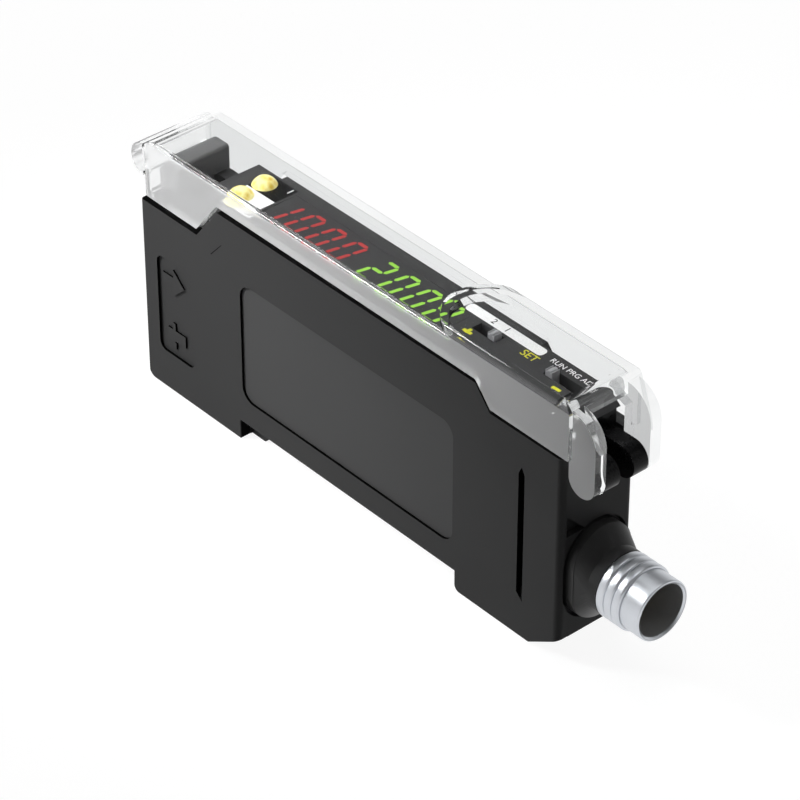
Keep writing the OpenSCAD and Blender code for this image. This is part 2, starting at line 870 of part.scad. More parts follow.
module dust_cover() {
    color([0.85, 0.88, 0.9, 0.35]) {
        difference() {
            union() {
                low_form(0);
                dome_form(0);
                lip();
            }
            through_y(-body_w, body_w) under_skirts();
            low_form(cover_t);
            dome_form(cover_t);
            box([cover_end - end_r, cover_end + eps], [-skirt_y, skirt_y], [0, mouth_z]);
        }
        for (s = [0, 1]) mirror([0, s, 0]) {
            through_y(ear_y - ear_t, ear_y) ear_outline();
            rod_y(hinge_x, hinge_z, stud_r, [lug_gap / 2 + lug_web + 2 * run, ear_y - ear_t + fit]);
        }
    }
}

// Thumb lip across the cover's closed end
module lip() {
    wide = half_w - lip_side;
    difference() {
        rod_y(lip_x, lip_z, lip_r, [-wide, wide]);
        box([cover_t / 2, lip_x + lip_r + eps], [-half_w, half_w], [0, dome_z]);
    }
}

module fibre_clamp_lever() {
    under_r = floor_r + move;
    neck_low = 0.9;
    front_r = 1.3;
    back_r = 0.4;
    neck_x0 = bar_x + bar_l / 2 - lever_x;
    color("#323234") difference() {
        union() {
            through_y(-bar_y, bar_y) difference() {
                translate([bar_x, lever_z]) square([bar_l, bar_z - lever_z]);
                translate([lever_x, lever_z]) circle(under_r);
                translate([bar_x, bar_z]) mirror([0, 1]) corner_waste(front_r);
                translate([bar_x + bar_l, bar_z]) mirror([1, 0]) mirror([0, 1]) corner_waste(back_r);
            }
            through_y(-neck_w / 2, neck_w / 2) {
                translate([lever_x, lever_z]) {
                    circle(hub_r);
                    polygon([
                        [-neck_low, 0], [neck_low, 0], [neck_x0 + neck_low, under_r + eps],
                        [neck_x0 - neck_low, under_r + eps]
                    ]);
                }
            }
        }
        rod_y(lever_x, lever_z, pivot_r + run, [-half_w, half_w]);
    }
}

module clamp_pivot_pin() {
    color("silver") rod_y(lever_x, lever_z, pivot_r, [-core_y, core_y - wall_t / 2]);
}

// Block with the two fibre ports: funnel, straight wall, grip seat and lens seat
module fibre_block() {
    wide = core_y - fit;
    color("#262628") difference() {
        union() {
            box([wall_t + fit, block_l], [-wide, wide], [bay_z[0] + fit, bay_z[1] - fit]);
            box([0, wall_t + eps], [-nose_y, nose_y], nose_z);
        }
        for (z = port_z) {
            rod_x(0, z, port_r, [-eps, port_l + eps]);
            translate([-fit, 0, z]) rotate([0, 90, 0])
                cylinder(r1 = port_r + funnel, r2 = port_r, h = funnel + fit);
            rod_x(0, z, grip_r + fit, [port_l, port_l + grip_l]);
            rod_x(0, z, lens_seat_r, [port_l, block_l + eps]);
        }
    }
}

module fibre_grips() {
    color("#55585a") for (z = port_z) difference() {
        rod_x(0, z, grip_r, [port_l, port_l + grip_l]);
        rod_x(0, z, port_r, [port_l - eps, port_l + grip_l + eps]);
    }
}

// Lamp that feeds the lower port: a round lens on a round base
module light_emitter() {
    z = port_z[0];
    color("#d8d8dc") {
        rod_x(0, z, grip_r, [block_l, block_l + lens_base_t]);
        intersection() {
            translate([block_l + lens_back, 0, z]) sphere(lens_r);
            rod_x(0, z, lens_r, [block_l - lens_r, block_l]);
        }
    }
}

// Light sensor behind the upper port: a square case with a round lens
module photodiode() {
    z = port_z[1];
    half = grip_r - fit;
    case_t = 1.2;
    eye_r = 1.1;
    eye_l = 0.8;
    color("#1a1a1c") {
        box([block_l, block_l + case_t], [-half, half], [z - half, z + half]);
        rod_x(0, z, eye_r, [block_l - eye_l, block_l + eps]);
    }
}

module obround(half, tall) {
    for (s = [-1, 1]) translate([0, plug_z + s * (tall / 2 - half)]) circle(half);
    translate([-half, plug_z - tall / 2 + half]) square([2 * half, tall - 2 * half]);
}

// Flange on the plug end, running into a round neck
module plug_flange() {
    color("#1d1d1f") difference() {
        union() {
            through_x(body_l, flange_x) obround(flange_w, flange_h);
            hull() {
                through_x(flange_x - fit, flange_x) obround(flange_w - fit, flange_h - fit);
                rod_x(0, plug_z, neck_r, [neck_x - fit, neck_x]);
            }
            rod_x(0, plug_z, neck_r, [neck_x - fit, collar_x]);
            rod_x(0, plug_z, gasket_r - 2 * fit, [body_l - wall_t, body_l + fit]);
        }
        rod_x(0, plug_z, spigot_r + fit, [spigot_x, collar_x + eps]);
        rod_x(0, plug_z, insert_r + fit, [body_l - wall_t - eps, collar_x]);
        difference() {
            rod_x(0, plug_z, gasket_out_r + fit, [body_l - eps, body_l + gasket_t]);
            rod_x(0, plug_z, gasket_r - 2 * fit, [body_l - 2 * eps, body_l + 2 * eps]);
        }
    }
}

module plug_gasket() {
    color("#3c3c3e") difference() {
        rod_x(0, plug_z, gasket_out_r, [body_l, body_l + gasket_t]);
        rod_x(0, plug_z, gasket_r, [body_l - eps, body_l + gasket_t + eps]);
    }
}

// Turned barrel: spigot, round ridges, sleeve with a rounded rim and a bevelled mouth
module plug_barrel() {
    ridges = 3;
    ridge_l = collar_l / ridges;
    ridge_round = min(0.9 * ridge_h, 0.45 * ridge_l);
    color("#b4b8be") translate([0, 0, plug_z]) rotate([0, 90, 0]) difference() {
        rotate_extrude() difference() {
            union() {
                translate([insert_r + fit, spigot_x])
                    square([spigot_r - insert_r - fit, collar_x - spigot_x]);
                translate([insert_r + fit, collar_x])
                    square([sleeve_r - insert_r - fit, rim_x - collar_x]);
                for (i = [0 : ridges - 1]) translate([sleeve_r - ridge_h, collar_x + i * ridge_l])
                    round_rect([0, 0], [2 * ridge_h, ridge_l], ridge_round);
            }
            translate([0, insert_x]) square([socket_r, rim_x]);
            translate([sleeve_r, rim_x]) mirror([1, 0]) mirror([0, 1]) corner_waste(mouth);
            polygon([
                [0, rim_x - mouth], [socket_r, rim_x - mouth], [socket_r + mouth, rim_x],
                [socket_r + mouth, rim_x + eps], [0, rim_x + eps]
            ]);
        }
    }
}

module contact_insert() {
    color("#2a2a2c") difference() {
        rod_x(0, plug_z, insert_r, [body_l - wall_t, insert_x]);
        contact_places(tail_x - eps) cylinder(r = contact_r + fit, h = rim_x);
    }
}

// Sets its child at each contact, starting at x and pointing out of the socket
module contact_places(x) {
    translate([x, 0, plug_z]) rotate([0, 90, 0]) {
        children();
        for (i = [0 : contacts - 1]) rotate(i * 360 / contacts) translate([ring_r, 0, 0]) children();
    }
}

module contact_pins() {
    long = tip_x - tail_x;
    color("#c8a850") contact_places(tail_x) {
        cylinder(r = contact_r, h = long - contact_r);
        translate([0, 0, long - contact_r]) cylinder(r1 = contact_r, r2 = contact_r / 2, h = contact_r);
    }
}

placed() housing_tub();
placed() side_cover();
placed() side_label();
placed() top_deck();
placed() display_window();
placed() red_display();
placed() green_display();
placed() lamp(lamp_y[0]);  // output_lamp_1
placed() lamp(lamp_y[1]);  // output_lamp_2
placed() control_board();
placed() main_board();
placed() controller_chip();
placed() tact_switches();
placed() rocker_button();
placed() set_plunger();
placed() slide_case(channel_x - channel_l, channel_x);  // channel_switch
placed() slide_knob(channel_x);  // channel_knob
placed() slide_case(mode_x, mode_x + mode_l);  // mode_switch
placed() slide_knob(mode_x);  // mode_knob
placed() dust_cover();
placed() fibre_clamp_lever();
placed() clamp_pivot_pin();
placed() fibre_block();
placed() fibre_grips();
placed() light_emitter();
placed() photodiode();
placed() plug_flange();
placed() plug_gasket();
placed() plug_barrel();
placed() contact_insert();
placed() contact_pins();
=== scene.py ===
"""Finish of a slim fibre optic sensor amplifier: plastics, clear cover, displays, signs and print."""

import math

import bmesh
import bpy
from mathutils import Matrix, Vector
from mathutils.bvhtree import BVHTree


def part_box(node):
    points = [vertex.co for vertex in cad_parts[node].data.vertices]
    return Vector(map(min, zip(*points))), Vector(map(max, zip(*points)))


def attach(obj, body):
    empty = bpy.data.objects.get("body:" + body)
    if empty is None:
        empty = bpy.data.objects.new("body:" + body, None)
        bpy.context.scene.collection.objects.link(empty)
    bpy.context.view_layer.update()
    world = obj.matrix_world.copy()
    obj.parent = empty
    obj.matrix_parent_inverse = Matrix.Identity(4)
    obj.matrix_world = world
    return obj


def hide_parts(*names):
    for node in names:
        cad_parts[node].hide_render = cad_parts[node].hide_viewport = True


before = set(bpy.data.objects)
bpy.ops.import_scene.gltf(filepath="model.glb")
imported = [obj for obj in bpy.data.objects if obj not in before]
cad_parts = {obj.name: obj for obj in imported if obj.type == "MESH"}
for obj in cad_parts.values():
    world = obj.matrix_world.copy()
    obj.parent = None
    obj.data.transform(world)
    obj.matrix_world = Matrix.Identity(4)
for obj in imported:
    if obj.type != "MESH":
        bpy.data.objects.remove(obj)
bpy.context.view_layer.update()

MM = 0.001

# Where the camera stands and how it looks at the part
CAMERA_AZIMUTH = math.radians(48.898)
CAMERA_ELEVATION = math.radians(35.965)
CAMERA_PLACE = Vector((244.034, -213.261, 249.773)) * MM
CAMERA_LENS = 170.37
CAMERA_SENSOR = 36.0

# Welding and easing of the moulded pieces' edges
WELD = 0.0005 * MM
FLAT = math.radians(0.3)
SHARP = math.radians(28)
COVER_CRISP = math.radians(12)
TUB_EASE = 0.08 * MM
SIDE_EASE = 0.1 * MM
DECK_EASE = 0.08 * MM
COVER_EASE = 0.1 * MM
LEVER_EASE = 0.15 * MM
ROCKER_EASE = 0.1 * MM
KNOB_EASE = 0.06 * MM
BARREL_EASE = 0.04 * MM
FLANGE_EASE = 0.1 * MM

# Bending of light in the clear cover, and in its far wall, which shows the pale ground behind it
COVER_IOR = 1.35
FAR_IOR = 1.02

# Thickness of printed ink and of lit display segments, and a capital's share of a letter's size
INK = 0.02 * MM
GLOW = 0.03 * MM
CAPITAL = 0.7

# Depth of the grain on moulded plastic and of the rings on turned metal
GRAIN_DEEP = 0.02 * MM
RINGS_DEEP = 0.01 * MM

# Shares of the broad and the fine noise in moulded plastic, and how far its gloss swings with them
BROAD_SHARE = 0.7
FINE_SHARE = 0.3
GLOSS_SWING = 0.35

# Roughness of ink, its swing and its shine; swing of turned metal's roughness, and its dim places
INK_ROUGH = 0.35
INK_SWING = 0.2
INK_SHINE = 0.06
RINGS_SWING = 0.12
DIM = 0.82

# Sockets of a Mix node that mixes colours
MIX_LOW = 6
MIX_HIGH = 7
MIX_OUT = 2


def link(tree, out_socket, in_socket):
    """Joins two sockets."""
    tree.links.new(out_socket, in_socket)


def node(tree, kind, **values):
    """A shader node with its properties and its inputs' plain values set by name."""
    made = tree.nodes.new(kind)
    for key, value in values.items():
        if hasattr(made, key):
            setattr(made, key, value)
        else:
            made.inputs[key.replace("_", " ")].default_value = value
    return made


def new_group(name, inputs, outputs):
    """An empty shader group with float, colour or vector sockets, and its two ends."""
    group = bpy.data.node_groups.new(name, "ShaderNodeTree")
    for label, kind in inputs:
        group.interface.new_socket(label, in_out="INPUT", socket_type=kind)
    for label, kind in outputs:
        group.interface.new_socket(label, in_out="OUTPUT", socket_type=kind)
    start = group.nodes.new("NodeGroupInput")
    end = group.nodes.new("NodeGroupOutput")
    return group, start, end


def maths(tree, operation, first, second):
    """A Math node; each operand is a socket or a number."""
    made = tree.nodes.new("ShaderNodeMath")
    made.operation = operation
    for socket, value in zip(made.inputs, (first, second)):
        if isinstance(value, (int, float)):
            socket.default_value = value
        else:
            link(tree, value, socket)
    return made.outputs[0]


def tinted(tree, factor, low, high):
    """A colour between two colours or sockets, by a factor."""
    made = tree.nodes.new("ShaderNodeMix")
    made.data_type = "RGBA"
    link(tree, factor, made.inputs["Factor"])
    for socket, value in ((made.inputs[MIX_LOW], low), (made.inputs[MIX_HIGH], high)):
        if isinstance(value, (tuple, list)):
            socket.default_value = (*value[:3], 1.0)
        else:
            link(tree, value, socket)
    return made.outputs[MIX_OUT]


def moulded_skin_group():
    """Skin of a moulded plastic: a fine grain and slow drifts of tone and gloss."""
    group, start, end = new_group(
        "moulded_skin",
        [
            ("Vector", "NodeSocketVector"),
            ("Tone", "NodeSocketColor"),
            ("Drift", "NodeSocketFloat"),
            ("Gloss", "NodeSocketFloat"),
            ("Grain", "NodeSocketFloat"),
        ],
        [
            ("Color", "NodeSocketColor"),
            ("Roughness", "NodeSocketFloat"),
            ("Height", "NodeSocketFloat"),
        ],
    )
    fine = node(group, "ShaderNodeTexNoise", Detail=3.0, Roughness=0.6)
    link(group, start.outputs["Vector"], fine.inputs["Vector"])
    link(group, start.outputs["Grain"], fine.inputs["Scale"])
    broad = node(group, "ShaderNodeTexNoise", Scale=85.0, Detail=2.0)
    link(group, start.outputs["Vector"], broad.inputs["Vector"])
    mixed = maths(group, "ADD", maths(group, "MULTIPLY", broad.outputs[0], BROAD_SHARE),
                  maths(group, "MULTIPLY", fine.outputs[0], FINE_SHARE))
    centred = maths(group, "SUBTRACT", mixed, 0.5)
    swing = maths(group, "MULTIPLY", centred, start.outputs["Drift"])
    bright = node(group, "ShaderNodeVectorMath", operation="SCALE")
    link(group, start.outputs["Tone"], bright.inputs[0])
    link(group, maths(group, "ADD", swing, 1.0), bright.inputs["Scale"])
    link(group, bright.outputs[0], end.inputs["Color"])
    dull = maths(group, "MULTIPLY", centred, GLOSS_SWING)
    link(group, maths(group, "ADD", dull, start.outputs["Gloss"]), end.inputs["Roughness"])
    link(group, fine.outputs[0], end.inputs["Height"])
    return group


def printed_ink_group():
    """Ink with an uneven density."""
    group, start, end = new_group(
        "printed_ink",
        [("Vector", "NodeSocketVector"), ("Ink", "NodeSocketColor"), ("Thin", "NodeSocketColor")],
        [("Color", "NodeSocketColor"), ("Roughness", "NodeSocketFloat")],
    )
    speck = node(group, "ShaderNodeTexNoise", Scale=5200.0, Detail=2.0)
    link(group, start.outputs["Vector"], speck.inputs["Vector"])
    spread = node(group, "ShaderNodeMapRange", From_Min=0.35, From_Max=0.62, To_Min=0.0, To_Max=1.0)
    link(group, speck.outputs[0], spread.inputs["Value"])
    link(
        group,
        tinted(group, spread.outputs[0], start.outputs["Thin"], start.outputs["Ink"]),
        end.inputs["Color"],
    )
    rough = maths(group, "MULTIPLY", speck.outputs[0], INK_SWING)
    link(group, maths(group, "ADD", rough, INK_ROUGH), end.inputs["Roughness"])
    return group


def turned_rings_group():
    """Fine rings that a lathe leaves round the X axis."""
    group, start, end = new_group(
        "turned_rings",
        [("Vector", "NodeSocketVector"), ("Gloss", "NodeSocketFloat")],
        [("Roughness", "NodeSocketFloat"), ("Height", "NodeSocketFloat"), ("Tone", "NodeSocketFloat")],
    )
    squeeze = node(group, "ShaderNodeMapping", Scale=(9000.0, 60.0, 60.0))
    link(group, start.outputs["Vector"], squeeze.inputs["Vector"])
    rings = node(group, "ShaderNodeTexNoise", Scale=1.0, Detail=3.0)
    link(group, squeeze.outputs[0], rings.inputs["Vector"])
    cloud = node(group, "ShaderNodeTexNoise", Scale=420.0, Detail=3.0)
    link(group, start.outputs["Vector"], cloud.inputs["Vector"])
    link(group, rings.outputs[0], end.inputs["Height"])
    both = maths(group, "ADD", maths(group, "MULTIPLY", rings.outputs[0], RINGS_SWING),
                 maths(group, "MULTIPLY", cloud.outputs[0], RINGS_SWING))
    link(group, maths(group, "ADD", both, start.outputs["Gloss"]), end.inputs["Roughness"])
    link(group, cloud.outputs[0], end.inputs["Tone"])
    return group


SKIN = moulded_skin_group()
PRINT = printed_ink_group()
RINGS = turned_rings_group()


def blank_material(name):
    """A new material with its tree, output, Principled shader and object coordinates."""
    made = bpy.data.materials.new(name)
    made.use_nodes = True
    tree = made.node_tree
    tree.nodes.clear()
    out = tree.nodes.new("ShaderNodeOutputMaterial")
    shader = tree.nodes.new("ShaderNodeBsdfPrincipled")
    link(tree, shader.outputs[0], out.inputs["Surface"])
    place = tree.nodes.new("ShaderNodeTexCoord")
    return made, tree, out, shader, place.outputs["Object"]


def bumped(tree, height, shader, strength, depth):
    """Sends a height to the shader's normal."""
    bump = node(tree, "ShaderNodeBump", Strength=strength, Distance=depth)
    link(tree, height, bump.inputs["Height"])
    link(tree, bump.outputs[0], shader.inputs["Normal"])


def moulded_plastic(name, tone, gloss, drift=0.25, grain=4200.0, relief=0.12, shine=0.12):
    """Moulded plastic with a fine satin grain."""
    made, tree, _, shader, place = blank_material(name)
    skin = tree.nodes.new("ShaderNodeGroup")
    skin.node_tree = SKIN
    link(tree, place, skin.inputs["Vector"])
    skin.inputs["Tone"].default_value = (*tone, 1.0)
    skin.inputs["Drift"].default_value = drift
    skin.inputs["Gloss"].default_value = gloss
    skin.inputs["Grain"].default_value = grain
    link(tree, skin.outputs["Color"], shader.inputs["Base Color"])
    link(tree, skin.outputs["Roughness"], shader.inputs["Roughness"])
    shader.inputs["Specular IOR Level"].default_value = shine
    bumped(tree, skin.outputs["Height"], shader, relief, GRAIN_DEEP)
    return made


def printed(name, ink, thin):
    """Print on plastic."""
    made, tree, _, shader, place = blank_material(name)
    layer = tree.nodes.new("ShaderNodeGroup")
    layer.node_tree = PRINT
    link(tree, place, layer.inputs["Vector"])
    layer.inputs["Ink"].default_value = (*ink, 1.0)
    layer.inputs["Thin"].default_value = (*thin, 1.0)
    link(tree, layer.outputs["Color"], shader.inputs["Base Color"])
    link(tree, layer.outputs["Roughness"], shader.inputs["Roughness"])
    shader.inputs["Specular IOR Level"].default_value = INK_SHINE
    return made


def turned_metal(name, tone, gloss, relief):
    """Turned and plated metal."""
    made, tree, _, shader, place = blank_material(name)
    rings = tree.nodes.new("ShaderNodeGroup")
    rings.node_tree = RINGS
    link(tree, place, rings.inputs["Vector"])
    rings.inputs["Gloss"].default_value = gloss
    dim = tuple(DIM * c for c in tone)
    link(tree, tinted(tree, rings.outputs["Tone"], dim, tone), shader.inputs["Base Color"])
    link(tree, rings.outputs["Roughness"], shader.inputs["Roughness"])
    shader.inputs["Metallic"].default_value = 1.0
    bumped(tree, rings.outputs["Height"], shader, relief, RINGS_DEEP)
    return made


def lit_segment(name, core, edge):
    """A display segment that glows, a little unevenly."""
    made, tree, _, shader, place = blank_material(name)
    cells = node(tree, "ShaderNodeTexNoise", Scale=1500.0, Detail=2.0)
    link(tree, place, cells.inputs["Vector"])
    glow = tinted(tree, cells.outputs[0], edge, core)
    link(tree, glow, shader.inputs["Emission Color"])
    shader.inputs["Emission Strength"].default_value = 1.0
    shader.inputs["Base Color"].default_value = (0.01, 0.01, 0.01, 1.0)
    shader.inputs["Specular IOR Level"].default_value = 0.1
    return made


def lamp_dome(name):
    """Yellow lamp dome that glows, with light and dark flecks painted into its colour and glow as the
    reflections of the reflector inside.
    """
    made, tree, _, shader, place = blank_material(name)
    # Painted reflections: flecks and mottling stand in for the reflector seen through the dome.
    painted_reflector_flecks = node(tree, "ShaderNodeTexVoronoi", Scale=1300.0)
    link(tree, place, painted_reflector_flecks.inputs["Vector"])
    painted_refraction_mottle = node(tree, "ShaderNodeTexNoise", Scale=1100.0, Detail=3.0)
    link(tree, place, painted_refraction_mottle.inputs["Vector"])
    both = maths(tree, "MULTIPLY", maths(tree, "ADD", painted_reflector_flecks.outputs[0], painted_refraction_mottle.outputs[0]), 0.5)
    mixed = node(tree, "ShaderNodeMapRange", From_Min=0.3, From_Max=0.6, To_Min=0.0, To_Max=1.0)
    link(tree, both, mixed.inputs["Value"])
    amber = tinted(tree, mixed.outputs[0], (0.74, 0.54, 0.07), (0.9, 0.84, 0.4))
    link(tree, amber, shader.inputs["Base Color"])
    glow = tinted(tree, mixed.outputs[0], (0.2, 0.12, 0.004), (0.34, 0.28, 0.07))
    link(tree, glow, shader.inputs["Emission Color"])
    shader.inputs["Emission Strength"].default_value = 0.6
    shader.inputs["Roughness"].default_value = 0.12
    shader.inputs["Specular IOR Level"].default_value = 0.4
    return made


def clear_plastic(name, tint, clearness=1.0, bend=COVER_IOR):
    """Clear moulded cover: bends light, lets the lamps shine through, and is milky where less clear. Its
    milkiness and a dark tint are used to paint reflection and shade on some of the cover's faces.
    """
    made, tree, out, shader, place = blank_material(name)
    flow = node(tree, "ShaderNodeTexNoise", Scale=140.0, Detail=2.0)
    link(tree, place, flow.inputs["Vector"])
    polish = node(tree, "ShaderNodeMapRange", To_Min=0.0, To_Max=0.05)
    link(tree, flow.outputs[0], polish.inputs["Value"])
    link(tree, polish.outputs[0], shader.inputs["Roughness"])
    shader.inputs["Base Color"].default_value = (*tint, 1.0)
    shader.inputs["IOR"].default_value = bend
    shader.inputs["Transmission Weight"].default_value = clearness
    rays = tree.nodes.new("ShaderNodeLightPath")
    clear = tree.nodes.new("ShaderNodeBsdfTransparent")
    pick = tree.nodes.new("ShaderNodeMixShader")
    link(tree, rays.outputs["Is Shadow Ray"], pick.inputs[0])
    link(tree, shader.outputs[0], pick.inputs[1])
    link(tree, clear.outputs[0], pick.inputs[2])
    link(tree, pick.outputs[0], out.inputs["Surface"])
    return made


def circuit_board(name):
    """Green mask with copper tracks that show through as paler lines."""
    made, tree, _, shader, place = blank_material(name)
    tracks = node(tree, "ShaderNodeTexBrick", Scale=260.0)
    tracks.inputs["Color1"].default_value = (0.02, 0.11, 0.05, 1.0)
    tracks.inputs["Color2"].default_value = (0.03, 0.15, 0.06, 1.0)
    tracks.inputs["Mortar"].default_value = (0.06, 0.24, 0.09, 1.0)
    link(tree, place, tracks.inputs["Vector"])
    link(tree, tracks.outputs["Color"], shader.inputs["Base Color"])
    shader.inputs["Roughness"].default_value = 0.35
    return made


FINISH = {
    "case": moulded_plastic("case_black", (0.05, 0.05, 0.0505), 0.5, shine=0.08),
    # Near-black painted shade: on the walls of the side's recesses and of the raised signs, on the ledge
    # under the clear cover's skirt, and on a thin line on the side.
    "recess": moulded_plastic("recess_black", (0.0015, 0.0015, 0.0015), 0.7, shine=0.02),
    "deck": moulded_plastic("deck_black", (0.04, 0.04, 0.041), 0.42, relief=0.05, shine=0.1),
    "lever": moulded_plastic("lever_black", (0.11, 0.11, 0.111), 0.42, relief=0.06, shine=0.08),
    "window": moulded_plastic("smoked_window", (0.039, 0.039, 0.04), 0.5, relief=0.03, shine=0.08),
    "label": moulded_plastic("label_film", (0.078, 0.078, 0.079), 0.55, grain=6500.0),
    "plug": moulded_plastic("plug_black", (0.06, 0.06, 0.0605), 0.4, shine=0.15),
    # Near-black painted shade on the hinge lugs and the pocket behind them, which are of the deck's own
    # plastic.
    "lugs": moulded_plastic("lugs_black", (0.006, 0.006, 0.0065), 0.3, relief=0.04, shine=0.1),
    # Pale greys that paint light into the deep socket: on the contact carrier, and as a pale lining on the
    # barrel's metal inner wall.
    "socket": moulded_plastic("contact_carrier_painted_light", (0.45, 0.45, 0.452), 0.5),
    "lining_painted_light": moulded_plastic("socket_painted_light", (0.6, 0.605, 0.61), 0.5),
    "knob": moulded_plastic("knob_grey", (0.33, 0.33, 0.34), 0.45),
    "switch": moulded_plastic("switch_grey", (0.2, 0.2, 0.205), 0.4),
    "white": moulded_plastic("plunger_white", (0.75, 0.75, 0.73), 0.4),
    "chip": moulded_plastic("chip_black", (0.015, 0.015, 0.016), 0.55),
    "rubber": moulded_plastic("seal_rubber", (0.02, 0.02, 0.021), 0.75, relief=0.25),
    "red_cup": moulded_plastic("display_cup_red", (0.2, 0.03, 0.03), 0.4),
    "green_cup": moulded_plastic("display_cup_green", (0.06, 0.15, 0.03), 0.4),
    "lens": moulded_plastic("lens_milky", (0.7, 0.72, 0.75), 0.1),
    "board": circuit_board("board_green"),
    "lamp": lamp_dome("lamp_yellow"),
    "cover": clear_plastic("clear_cover", (0.975, 0.982, 0.982)),
    # Milky white haze that the lamps light, put on the near skirt only as a painted reflection of the pale
    # surroundings.
    "milky_reflection": clear_plastic("near_skirt_painted_reflection", (0.95, 0.955, 0.96), 0.47),
    # Grey tint that paints shade on the far wall of the clear cover.
    "far_wall_painted_shade": clear_plastic("far_wall_painted_shade", (0.85, 0.857, 0.858), bend=FAR_IOR),
    # Dark grey tint that paints shade on the far ear's inner face.
    "far_ear_shade": clear_plastic("far_ear_painted_shade", (0.4, 0.405, 0.41), 0.92, FAR_IOR),
    # Dark tint that paints shade lines on the eased edges of the cover's far walls.
    "edge_painted_shade": clear_plastic("edge_painted_shade", (0.16, 0.165, 0.17), bend=FAR_IOR),
    "silver": turned_metal("barrel_silver", (0.68, 0.705, 0.745), 0.25, 0.12),
    "gold": turned_metal("contact_gold", (0.8, 0.6, 0.25), 0.15, 0.05),
    "steel": turned_metal("pin_steel", (0.55, 0.55, 0.57), 0.2, 0.1),
    "red": lit_segment("digits_red", (0.62, 0.055, 0.055), (0.46, 0.03, 0.03)),
    "green": lit_segment("digits_green", (0.44, 0.88, 0.1), (0.3, 0.68, 0.06)),
    "ink_white": printed("ink_white", (0.94, 0.94, 0.94), (0.86, 0.86, 0.86)),
    "ink_black": printed("ink_black", (0.004, 0.004, 0.004), (0.008, 0.008, 0.008)),
    "ink_yellow": printed("ink_yellow", (0.8, 0.78, 0.05), (0.62, 0.6, 0.04)),
}


def add_piece(name, mesh, finish, body, smooth=None, others=()):
    """A finished piece: its mesh in place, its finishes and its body."""
    made = bpy.data.objects.new(name, mesh)
    bpy.context.scene.collection.objects.link(made)
    for key in (finish, *others):
        mesh.materials.append(FINISH[key])
    if smooth is not None:
        mesh.shade_smooth()
        mesh.set_sharp_from_angle(angle=smooth)
        made.modifiers.new("flat_faces", "WEIGHTED_NORMAL").keep_sharp = True
    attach(made, body)
    return made


def mesh_of(bm, name):
    """A mesh of what was built, which is then let go."""
    mesh = bpy.data.meshes.new(name)
    bm.to_mesh(mesh)
    bm.free()
    return mesh


def eased(
    cad_node, name, finish, body, width,
    eases=None, others=(), picks=None, rims=None, cut=None, crisp=SHARP,
):
    """A copy of a moulded CAD piece with its edges eased, which stands for that piece.

    eases tells which sharp edges are eased. picks gives a face the number of one of the other
    finishes, or 0, and rims tells which eased edges have the last of them. cut is a height at
    which the faces are parted, so that two finishes can meet there. crisp is the angle from which
    an edge shows as a line.
    """
    bm = bmesh.new()
    bm.from_mesh(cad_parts[cad_node].data)
    bmesh.ops.remove_doubles(bm, verts=bm.verts, dist=WELD)
    bmesh.ops.dissolve_limit(bm, angle_limit=FLAT, verts=bm.verts, edges=bm.edges)
    if cut:
        whole = [*bm.verts, *bm.edges, *bm.faces]
        bmesh.ops.bisect_plane(bm, geom=whole, plane_co=(0.0, 0.0, cut), plane_no=(0.0, 0.0, 1.0))
    sharp = [e for e in bm.edges if len(e.link_faces) == 2 and e.calc_face_angle() > SHARP]
    if eases:
        sharp = [e for e in sharp if eases(e)]
    made_faces = bmesh.ops.bevel(
        bm, geom=sharp, offset=width, affect="EDGES", segments=2, profile=0.5,
        material=-1, clamp_overlap=True,
    )["faces"]
    bm.normal_update()
    for face in bm.faces:
        face.material_index = int(picks(face.calc_center_median(), face.normal)) if picks else 0
    for face in made_faces:
        if rims and rims(face.calc_center_median()):
            face.material_index = len(others)
    mesh = mesh_of(bm, name)
    old_normals = mesh.attributes.get("custom_normal")
    if old_normals is not None:
        mesh.attributes.remove(old_normals)
    made = add_piece(name, mesh, finish, body, smooth=crisp, others=others)
    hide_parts(cad_node)


def dress(cad_node, finish):
    """Gives a CAD piece, which stays as it is, its finish."""
    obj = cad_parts[cad_node]
    for material_slot in obj.material_slots:
        material_slot.material = FINISH[finish]


def slab(bm, corners, place, thickness):
    """A flat plate over an outline of corners, moved to its place and thickened along its normal."""
    verts = [bm.verts.new(place @ Vector((x, y, 0.0))) for x, y in corners]
    face = bm.faces.new(verts)
    bm.normal_update()
    normal = place.to_3x3() @ Vector((0.0, 0.0, 1.0))
    grown = bmesh.ops.extrude_face_region(bm, geom=[face])
    moved = [v for v in grown["geom"] if isinstance(v, bmesh.types.BMVert)]
    bmesh.ops.translate(bm, verts=moved, vec=normal * thickness)
    bmesh.ops.recalc_face_normals(bm, faces=bm.faces)


def on_deck(x, y, z):
    """Places a drawing on a level face: its right is +X and its top is +Y."""
    return Matrix.Translation((x, y, z))


def on_side(x, y, z):
    """Places a drawing on the near side: its right is +X and its top is +Z."""
    return Matrix.Translation((x, y, z)) @ Matrix.Rotation(math.radians(90), 4, "X")


def plate(name, corners, place, thickness, finish, body, rounding=0.0):
    """A thin plate over an outline; rounding is the radius of its corners."""
    bm = bmesh.new()
    slab(bm, corners, place, thickness)
    if rounding:
        upright = [e for e in bm.edges if abs(e.verts[0].co.z - e.verts[1].co.z) > thickness / 2]
        bmesh.ops.bevel(
            bm, geom=upright, offset=rounding, affect="EDGES", segments=5, profile=0.5,
            material=-1, clamp_overlap=True,
        )
    add_piece(name, mesh_of(bm, name), finish, body)


